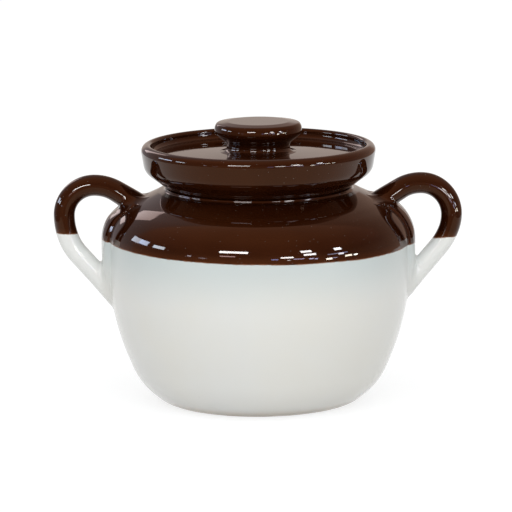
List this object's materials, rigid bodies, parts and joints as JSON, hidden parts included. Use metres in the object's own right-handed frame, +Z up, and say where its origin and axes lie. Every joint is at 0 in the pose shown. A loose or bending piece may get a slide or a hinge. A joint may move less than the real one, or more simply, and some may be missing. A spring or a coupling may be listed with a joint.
{
  "type": "bean pot",
  "caption": "Squat stoneware bean pot with a turned-in shoulder, loop handles at the sides and a loose dished lid with a flat-topped knob.",
  "frame": {"origin": "middle of the foot, on the surface that the pot stands on", "axes": "+Z up; +X through the right-hand handle as the picture shows the pot; -Y faces the camera"},
  "size_m": [0.271, 0.2, 0.1862],
  "materials": {
    "pot_glaze": "gloss",
    "handle_glaze": "gloss",
    "lid_glaze": "gloss"
  },
  "bodies": {
    "pot": {"pot_body": "pot_glaze", "handle_left": "handle_glaze", "handle_right": "handle_glaze"},
    "lid": {"lid": "lid_glaze", "lid_knob": "lid_glaze"}
  },
  "joints": [
    {"name": "lid_lift", "type": "slide", "parent": "pot", "child": "lid", "axis": [0, 0, 1], "range_m": [0, 0.12]}
  ]
}
